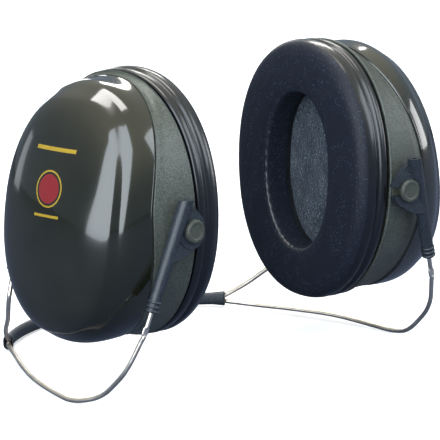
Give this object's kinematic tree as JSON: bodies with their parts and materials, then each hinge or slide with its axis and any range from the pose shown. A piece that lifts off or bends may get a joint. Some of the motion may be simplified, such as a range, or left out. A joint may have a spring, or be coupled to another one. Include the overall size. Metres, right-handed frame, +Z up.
{
  "type": "hearing protection earmuffs",
  "caption": "Neckband hearing protection earmuffs: oval ear cups with ring cushions on pivot studs, sliding arms, spring wires and a neck sleeve.",
  "frame": {"origin": "on the ground under the middle of the set's box, which stands on its two front wire loops and its neck sleeve", "axes": "+X to the wearer's left, -Y to the wearer's front, +Z up"},
  "size_m": [0.1858, 0.1348, 0.1228],
  "materials": {
    "gloss_cover": "polished very dark olive moulding",
    "textured_shell": "fine spark-eroded texture, dark olive grey-green",
    "cushion_skin": "blue-black vinyl skin, micro-grained on the ear face and smooth at the side",
    "black_plastic": "plain black moulding",
    "foam": "open-cell grey-blue foam with pale specks",
    "stud_plastic": "fine texture, dark olive",
    "arm_plastic": "satin black moulding with a faint grain",
    "spring_steel": "bright drawn stainless wire",
    "sleeve_vinyl": "satin blue-black vinyl tube"
  },
  "bodies": {
    "neckband": {"neck_sleeve": "sleeve_vinyl", "front_band_wire": "spring_steel", "rear_band_wire": "spring_steel"},
    "left_wires": {"front_wire_left": "spring_steel", "rear_wire_left": "spring_steel"},
    "left_front_arm": {"front_arm_left": "arm_plastic"},
    "left_rear_arm": {"rear_arm_left": "arm_plastic"},
    "left_cup": {"cup_shell_left": "textured_shell", "cup_cover_left": "gloss_cover", "ear_cushion_left": "cushion_skin", "cushion_plate_left": "black_plastic", "foam_liner_left": "foam", "front_stud_left": "stud_plastic", "rear_stud_left": "stud_plastic"},
    "right_wires": {"front_wire_right": "spring_steel", "rear_wire_right": "spring_steel"},
    "right_front_arm": {"front_arm_right": "arm_plastic"},
    "right_rear_arm": {"rear_arm_right": "arm_plastic"},
    "right_cup": {"cup_shell_right": "textured_shell", "cup_cover_right": "gloss_cover", "ear_cushion_right": "cushion_skin", "cushion_plate_right": "black_plastic", "foam_liner_right": "foam", "front_stud_right": "stud_plastic", "rear_stud_right": "stud_plastic"}
  },
  "joints": [
    {"name": "left_opening", "type": "hinge", "parent": "neckband", "child": "left_wires", "pos_m": [0.0565, 0.04243, 0.00368], "axis": [0, 0.0506, 0.9987], "range_deg": [-4, 28], "stiffness_Nm_per_rad": 1.7},
    {"name": "left_height", "type": "slide", "parent": "left_wires", "child": "left_front_arm", "axis": [-0.2983, -0.0834, 0.9508], "range_m": [-0.005, 0.012]},
    {"name": "left_rear_height", "type": "slide", "parent": "left_wires", "child": "left_rear_arm", "axis": [-0.2905, 0.1205, 0.9492], "range_m": [-0.0052, 0.0122]},
    {"name": "left_tilt", "type": "hinge", "parent": "left_front_arm", "child": "left_cup", "pos_m": [0.05723, -0.02144, 0.06709], "axis": [0.0515, 0.9974, -0.0505], "range_deg": [-8, 8]},
    {"name": "right_opening", "type": "hinge", "parent": "neckband", "child": "right_wires", "pos_m": [-0.0565, 0.04243, 0.00368], "axis": [0, -0.0506, -0.9987], "range_deg": [-4, 28], "stiffness_Nm_per_rad": 1.7},
    {"name": "right_height", "type": "slide", "parent": "right_wires", "child": "right_front_arm", "axis": [0.2983, -0.0834, 0.9508], "range_m": [-0.005, 0.012]},
    {"name": "right_rear_height", "type": "slide", "parent": "right_wires", "child": "right_rear_arm", "axis": [0.2905, 0.1205, 0.9492], "range_m": [-0.0052, 0.0122]},
    {"name": "right_tilt", "type": "hinge", "parent": "right_front_arm", "child": "right_cup", "pos_m": [-0.05723, -0.02144, 0.06709], "axis": [0.0515, -0.9974, 0.0505], "range_deg": [-8, 8]}
  ],
  "couplings": [
    {"joint": "left_rear_height", "follows": "left_height", "ratio": 0.99083},
    {"joint": "right_rear_height", "follows": "right_height", "ratio": 0.99083}
  ]
}
